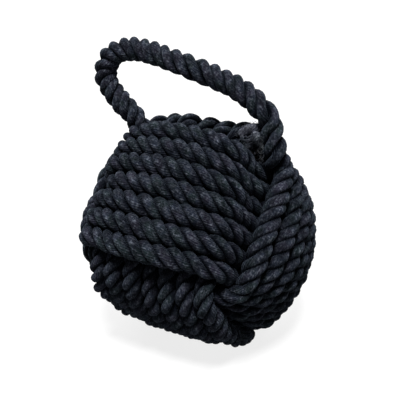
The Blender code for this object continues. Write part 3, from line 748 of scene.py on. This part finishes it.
def looseYarns(strands, draw):
    # what each strand is spun from, in a tuft past the cut that closes over the rope's middle
    yarns = []
    centre = np.mean([strand["middle"][-1] for strand in strands], axis=0)
    for strand in strands:
        middle, onward = strand["middle"][-1], strand["middle"][-1] - strand["middle"][-3]
        onward = onward / np.linalg.norm(onward)
        inward = (centre - middle) / np.linalg.norm(centre - middle)
        for number in range(tail["yarns"]):
            turn, reach = tail["spiral"] * number, math.sqrt((number + 0.5) / tail["yarns"])
            aside = strand["outward"][-1] * math.cos(turn) + strand["beside"][-1] * math.sin(turn)
            aside = reach * aside
            start = middle - tail["sunk"] * onward + tail["spread"] * strand["radius"][-1] * aside
            heading = onward + tail["flare"] * aside + tail["gathered"] * inward
            heading = heading + draw.normal(0, tail["stray"], 3)
            length = draw.uniform(*tail["yarnLength"])
            yarns.append(thread(start, heading, length, tail["yarnSize"], draw))
    return yarns


def hairsOn(line, count, rings, facing, draw):
    # hairs that stand off a rope's skin between two of its rings, more of them on the side given
    hairs = []
    heading, side, up = steadyFrames(line[:, :3])
    for ring, turn in zip(draw.integers(*rings, count), draw.uniform(0, 2 * math.pi, count)):
        aside = side[ring] * math.cos(turn) + up[ring] * math.sin(turn) + np.array(facing)
        aside = aside - heading[ring] * (aside @ heading[ring])
        aside = aside / np.linalg.norm(aside)
        start = line[ring, :3] + aside * line[ring, 3] * tail["hairSunk"]
        lean = tail["hairLean"] * aside + heading[ring] * draw.choice((-1, 1))
        lean = lean + draw.normal(0, tail["hairStray"], 3)
        hairs.append(thread(start, lean, draw.uniform(*tail["hairLength"]), tail["hairSize"], draw))
    return hairs


def hollowHairs(draw):
    # brownish ends of fibre in the hollow in front of the right root
    low, high = np.array(tail["hollow"])
    return [thread(draw.uniform(low, high), draw.normal(size=3), draw.uniform(*tail["hairLength"]),
                   tail["hairSize"], draw) for number in range(tail["hollowHairs"])]


def threadSkin(threads, sides):
    return strandSkin(threads, 0, tail["threadRings"], middles, sides)


def cutTail(line, strands, last):
    draw = np.random.default_rng(tail["seed"])
    rings = len(line)
    skins = [strandSkin(strands, last - 1, rings, middles), threadSkin(looseYarns(strands, draw), 6)]
    piece = strandMesh("cut_tail_rope", skins, cutEnd)
    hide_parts("rope_tail")
    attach(piece, "ball")
    hairs = hairsOn(line, tail["hairs"], (rings - tail["hairyRings"], rings), tail["hairsFace"], draw)
    hairs += hairsOn(handlePath, tail["rootHairs"], tail["root"], tail["rootFaces"], draw)
    brownHairs = hollowHairs(draw)
    for name, threads, look in (("tail_lint", hairs, lightLint), ("hollow_lint", brownHairs, brownLint)):
        lint = strandMesh(name, [threadSkin(threads, 4)], look)
        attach(lint, "ball")


# The three sets of turns
routes = woundRopes()
handlePath = handleLine()
middles = np.concatenate([line[::4, :3] for line in routes.values()] + [handlePath[::6, :3]])
print("turns pulled tight:", ", ".join(f"{name} {len(line)} rings" for name, line in routes.items()))
strandSeeds = {"first_turns": 3, "second_turns": 101, "third_turns": 211}
for name, line in routes.items():
    last = len(line)
    if name == "third_turns":
        line = openedTail(line)
        last = len(line) - round(tail["length"] / rope["ringStep"])
    strands = laidStrands(line, strandSeeds[name], rope["layLength"])
    turns = strandMesh(name + "_rope", [strandSkin(strands, 0, last, middles)], navyCotton)
    pressedFlat(turns)
    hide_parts(name)
    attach(turns, "ball")
    if name == "third_turns":
        cutTail(line, strands, last)
print("strands laid along the turns, and the cut end frayed")


# The handle, one rope from root to root that bends where it leaves the knot
tighter = ease((handle["bendLeftOf"] - handlePath[1:, 0]) / handle["bendOver"])
tighter = tighter * ease((handlePath[1:, 2] - handle["bendAbove"]) / handle["bendRise"])
handleLay = handle["layLength"] + (handle["layInBend"] - handle["layLength"]) * tighter
handleStrands = laidStrands(handlePath, handle["seed"], handleLay, handle["widening"])
handleSkin = strandSkin(handleStrands, 0, len(handlePath), middles)
# painted shade: the handle's colour is darkened over its first rings at the right root, then less over as
# many again
shade = ease(2 - np.arange(len(handlePath)) / handle["shadedRings"])
shade = 1 - (1 - handle["rootShade"]) * shade
handleSkin[4] = handleSkin[4] * np.tile(np.repeat(shade, rope["sides"]), 3)
handleRope = strandMesh("handle_rope", [handleSkin], handleCotton)
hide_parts("handle_loop", "handle_root_right", "handle_root_left")
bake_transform(handleRope)

# The core: a cloth bag of sand, tied at its neck
core = {
    "half": 0.0425, "round": 4, "wall": 0.0012, "cloth": 0.00096, "gap": 0.0003,
    "neckRadius": 0.0075, "neckTop": 0.0462, "neckRings": 5, "neckFlare": 0.12, "neckWaves": 0.05,
    "columns": 160, "rows": 64, "seam": 0.0005,
    "pleats": 15, "pleatDepth": 0.0005, "pleatsFrom": 0.010, "pleatsOver": 0.022, "pleatsAbove": 0.6,
    "sandCuts": 40, "sandRoundness": 0.5, "lumps": 0.0016, "lumpSize": 0.014,
    "tie": 0.0012, "tieTurns": 2, "tieRings": 160, "tieLay": 2.6, "tieSeed": 401, "tieSides": 8,
    "tieWider": 1.06, "tieBelowLip": 1.6, "tieClimb": 1.1,
}
toPlace = Matrix.Translation(Vector(stance["centred"])) @ knotToFloor()


def finishModifiers(piece):
    bpy.ops.object.select_all(action="DESELECT")
    bpy.context.view_layer.objects.active = piece
    piece.select_set(True)
    for modifier in list(piece.modifiers):
        bpy.ops.object.modifier_apply(modifier=modifier.name)
    piece.select_set(False)


def bagShell():
    # a loft from the middle of the bottom to the lip of the neck, drawn into pleats as it narrows
    columns, rows, half = core["columns"], core["rows"], core["half"]
    turn = np.arange(columns) / columns * 2 * math.pi
    rise = np.linspace(-math.pi / 2, math.pi / 2, rows + 1)[1:-1]
    spots = []
    for slope in rise:
        way = np.stack([math.cos(slope) * np.cos(turn), math.cos(slope) * np.sin(turn),
                        np.full(columns, math.sin(slope))], 1)
        size = (np.abs(way) ** core["round"]).sum(1) ** (1 / core["round"])
        spots.append(way / size[:, None] * half)
    mouth = core["neckRadius"] * 1.2
    spots = [ring for ring in spots if ring[0, 2] < 0 or np.hypot(*ring[0, :2]) > mouth]
    for height in np.linspace(half, core["neckTop"], core["neckRings"]):
        flare = 1 + core["neckFlare"] * ease((height - half) / (core["neckTop"] - half))
        wide = core["neckRadius"] * flare * (1 + core["neckWaves"] * np.cos(core["pleats"] * turn))
        spots.append(np.stack([wide * np.cos(turn), wide * np.sin(turn), np.full(columns, height)], 1))
    spots = np.array(spots)
    above = ease((spots[:, :, 2] / half - core["pleatsAbove"]) / (1 - core["pleatsAbove"]))
    fromNeck = np.hypot(spots[:, :, 0], spots[:, :, 1]) - core["pleatsFrom"]
    drawn = above * (1 - ease(fromNeck / core["pleatsOver"]))
    spots[:, :, 2] += core["pleatDepth"] * drawn * np.cos(core["pleats"] * turn)
    sewn = np.isin(np.arange(columns), (0, columns // 2))
    spots[:, sewn] *= 1 + core["seam"] / half
    return spots


def bagPiece(look):
    spots = bagShell()
    rows, columns = spots.shape[:2]
    bottom = spots[0, :, 2].mean()
    vertices = np.concatenate([spots.reshape(-1, 3), [(0, 0, bottom)]])
    faces = [(row * columns + spot, row * columns + (spot + 1) % columns,
              (row + 1) * columns + (spot + 1) % columns, (row + 1) * columns + spot)
             for row in range(rows - 1) for spot in range(columns)]
    faces += [((spot + 1) % columns, spot, rows * columns) for spot in range(columns)]
    mesh = bpy.data.meshes.new("canvas_bag")
    mesh.from_pydata(moved(vertices, toPlace).tolist(), [], faces)
    mesh.polygons.foreach_set("use_smooth", np.ones(len(faces), bool))
    piece = newPiece("canvas_bag", mesh, look)
    wall = piece.modifiers.new("wall", "SOLIDIFY")
    wall.thickness = core["cloth"]
    wall.offset = -1
    finishModifiers(piece)
    return piece


def sandPiece(look):
    # a cube with cuts, drawn towards a ball and left lumpy
    bpy.ops.object.select_all(action="DESELECT")
    bpy.ops.mesh.primitive_cube_add(size=2 * core["half"], location=(0, 0, 0))
    piece = bpy.context.active_object
    piece.name = "loose_sand"
    bpy.ops.object.mode_set(mode="EDIT")
    bpy.ops.mesh.select_all(action="SELECT")
    bpy.ops.mesh.subdivide(number_cuts=core["sandCuts"])
    bpy.ops.transform.tosphere(value=core["sandRoundness"])
    bpy.ops.object.mode_set(mode="OBJECT")
    reach = core["half"] - core["wall"] - core["gap"]
    widest = max(vertex.co.x for vertex in piece.data.vertices)
    bpy.ops.transform.resize(value=(reach / widest,) * 3)
    bpy.ops.object.transform_apply(location=False, rotation=False, scale=True)
    lumps = bpy.data.textures.new("lumps", "CLOUDS")
    lumps.noise_scale = core["lumpSize"]
    lumpy = piece.modifiers.new("lumps", "DISPLACE")
    lumpy.texture = lumps
    lumpy.mid_level = 1
    lumpy.strength = core["lumps"]
    finishModifiers(piece)
    piece.data.transform(toPlace)
    piece.data.materials.append(look)
    piece.data.polygons.foreach_set("use_smooth", np.ones(len(piece.data.polygons), bool))
    return piece


def tiePiece(look):
    # three-ply twine, twice round the neck and crossed over itself at the front
    radius = core["neckRadius"] * core["tieWider"] + core["tie"] / 2 + core["gap"]
    turn = np.linspace(0, 2 * math.pi * core["tieTurns"], core["tieRings"])
    climb = core["tieClimb"] * (turn / turn[-1] - 0.5)
    height = core["neckTop"] + core["tie"] * (climb - core["tieBelowLip"])
    path = np.stack([radius * np.sin(turn), -radius * np.cos(turn), height], 1)
    line = np.column_stack([moved(path, toPlace), np.full(len(turn), core["tie"] / 2)])
    strands = laidStrands(line, core["tieSeed"], core["tie"] * core["tieLay"])
    return strandMesh("twine_tie", [strandSkin(strands, 0, len(line), middles, core["tieSides"])], look)


sand, bag, tie = sandPiece(drySand), bagPiece(canvas), tiePiece(jute)
coreParts = ((sand, "sand_fill", "sand"), (bag, "core_bag", "canvas"), (tie, "bag_tie", "twine"))
for piece, node, slot in coreParts:
    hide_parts(node)
    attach(piece, "ball")
print("bag of sand made and tied")

# Floor, light and camera
studio = {
    "floor": (0.20, 0.20, 0.20), "glow": 0.82, "world": 0.035,
    "key": {"turn": (25, 22), "strength": 3.8, "softness": 13},
    "back": {"turn": (52, 218), "strength": 1.9, "softness": 55},
}
view = {"centre": (0.0011, -0.0018, 0.0795), "azimuth": 25.73, "elevation": 22.0, "distance": 0.503,
        "lens": 61.4, "shiftY": 0.0727}


def backdropRay(tree):
    # 1 for a ray that shows the backdrop, also in a shine or through glass, and 0 for one that lights
    seen = tree.nodes.new("ShaderNodeLightPath")
    shows = seen.outputs["Is Camera Ray"]
    for name in ("Is Glossy Ray", "Is Transmission Ray"):
        either = tree.nodes.new("ShaderNodeMath")
        either.operation = "MAXIMUM"
        tree.links.new(shows, either.inputs[0])
        tree.links.new(seen.outputs[name], either.inputs[1])
        shows = either.outputs[0]
    return shows


def plainFloor():
    # pale enough to meet the backdrop without a line, and darker only where a shadow falls
    bpy.ops.object.select_all(action="DESELECT")
    bpy.ops.mesh.primitive_plane_add(size=24, location=(0, 0, 0))
    floor = bpy.context.active_object
    floor.name = "studio_floor"
    made = bpy.data.materials.new("paleFloor")
    made.use_nodes = True
    tree = made.node_tree
    shader = tree.nodes["Principled BSDF"]
    shader.inputs["Base Color"].default_value = (*studio["floor"], 1)
    shader.inputs["Roughness"].default_value = 0.9
    shader.inputs["Specular IOR Level"].default_value = 0.1
    shader.inputs["Emission Color"].default_value = (1, 1, 1, 1)
    glow = tree.nodes.new("ShaderNodeMath")
    glow.operation = "MULTIPLY"
    glow.inputs[1].default_value = studio["glow"]
    tree.links.new(backdropRay(tree), glow.inputs[0])
    tree.links.new(glow.outputs[0], shader.inputs["Emission Strength"])
    floor.data.materials.append(made)


def sunLamp(name, facts):
    bpy.ops.object.light_add(type="SUN", location=(0, 0, 1))
    lamp = bpy.context.active_object
    lamp.name = name
    lamp.data.energy = facts["strength"]
    lamp.data.angle = math.radians(facts["softness"])
    tilt, turn = (math.radians(value) for value in facts["turn"])
    lamp.rotation_euler = (tilt, 0, turn)


def paleWorld():
    world = bpy.data.worlds.new("studio")
    world.use_nodes = True
    bpy.context.scene.world = world
    tree = world.node_tree
    lit = tree.nodes["Background"]
    lit.inputs["Color"].default_value = (1, 1, 1, 1)
    lit.inputs["Strength"].default_value = studio["world"]
    shown = tree.nodes.new("ShaderNodeBackground")
    shown.inputs["Color"].default_value = (1, 1, 1, 1)
    shown.inputs["Strength"].default_value = 1
    both = tree.nodes.new("ShaderNodeMixShader")
    tree.links.new(backdropRay(tree), both.inputs[0])
    tree.links.new(lit.outputs[0], both.inputs[1])
    tree.links.new(shown.outputs[0], both.inputs[2])
    tree.links.new(both.outputs[0], tree.nodes["World Output"].inputs["Surface"])


def photoCamera():
    azimuth, elevation = math.radians(view["azimuth"]), math.radians(view["elevation"])
    back = Vector((math.sin(azimuth) * math.cos(elevation), -math.cos(azimuth) * math.cos(elevation),
                   math.sin(elevation)))
    bpy.ops.object.camera_add(location=Vector(view["centre"]) + back * view["distance"])
    camera = bpy.context.active_object
    camera.rotation_euler = (-back).to_track_quat("-Z", "Y").to_euler()
    camera.data.sensor_width = 36
    camera.data.lens = view["lens"]
    camera.data.shift_y = view["shiftY"]
    camera.data.clip_start = 0.01
    bpy.context.scene.camera = camera


plainFloor()
for name in ("key", "back"):
    sunLamp(name + "_light", studio[name])
paleWorld()
photoCamera()
bpy.context.scene.view_settings.view_transform = "Standard"
print("stage set")
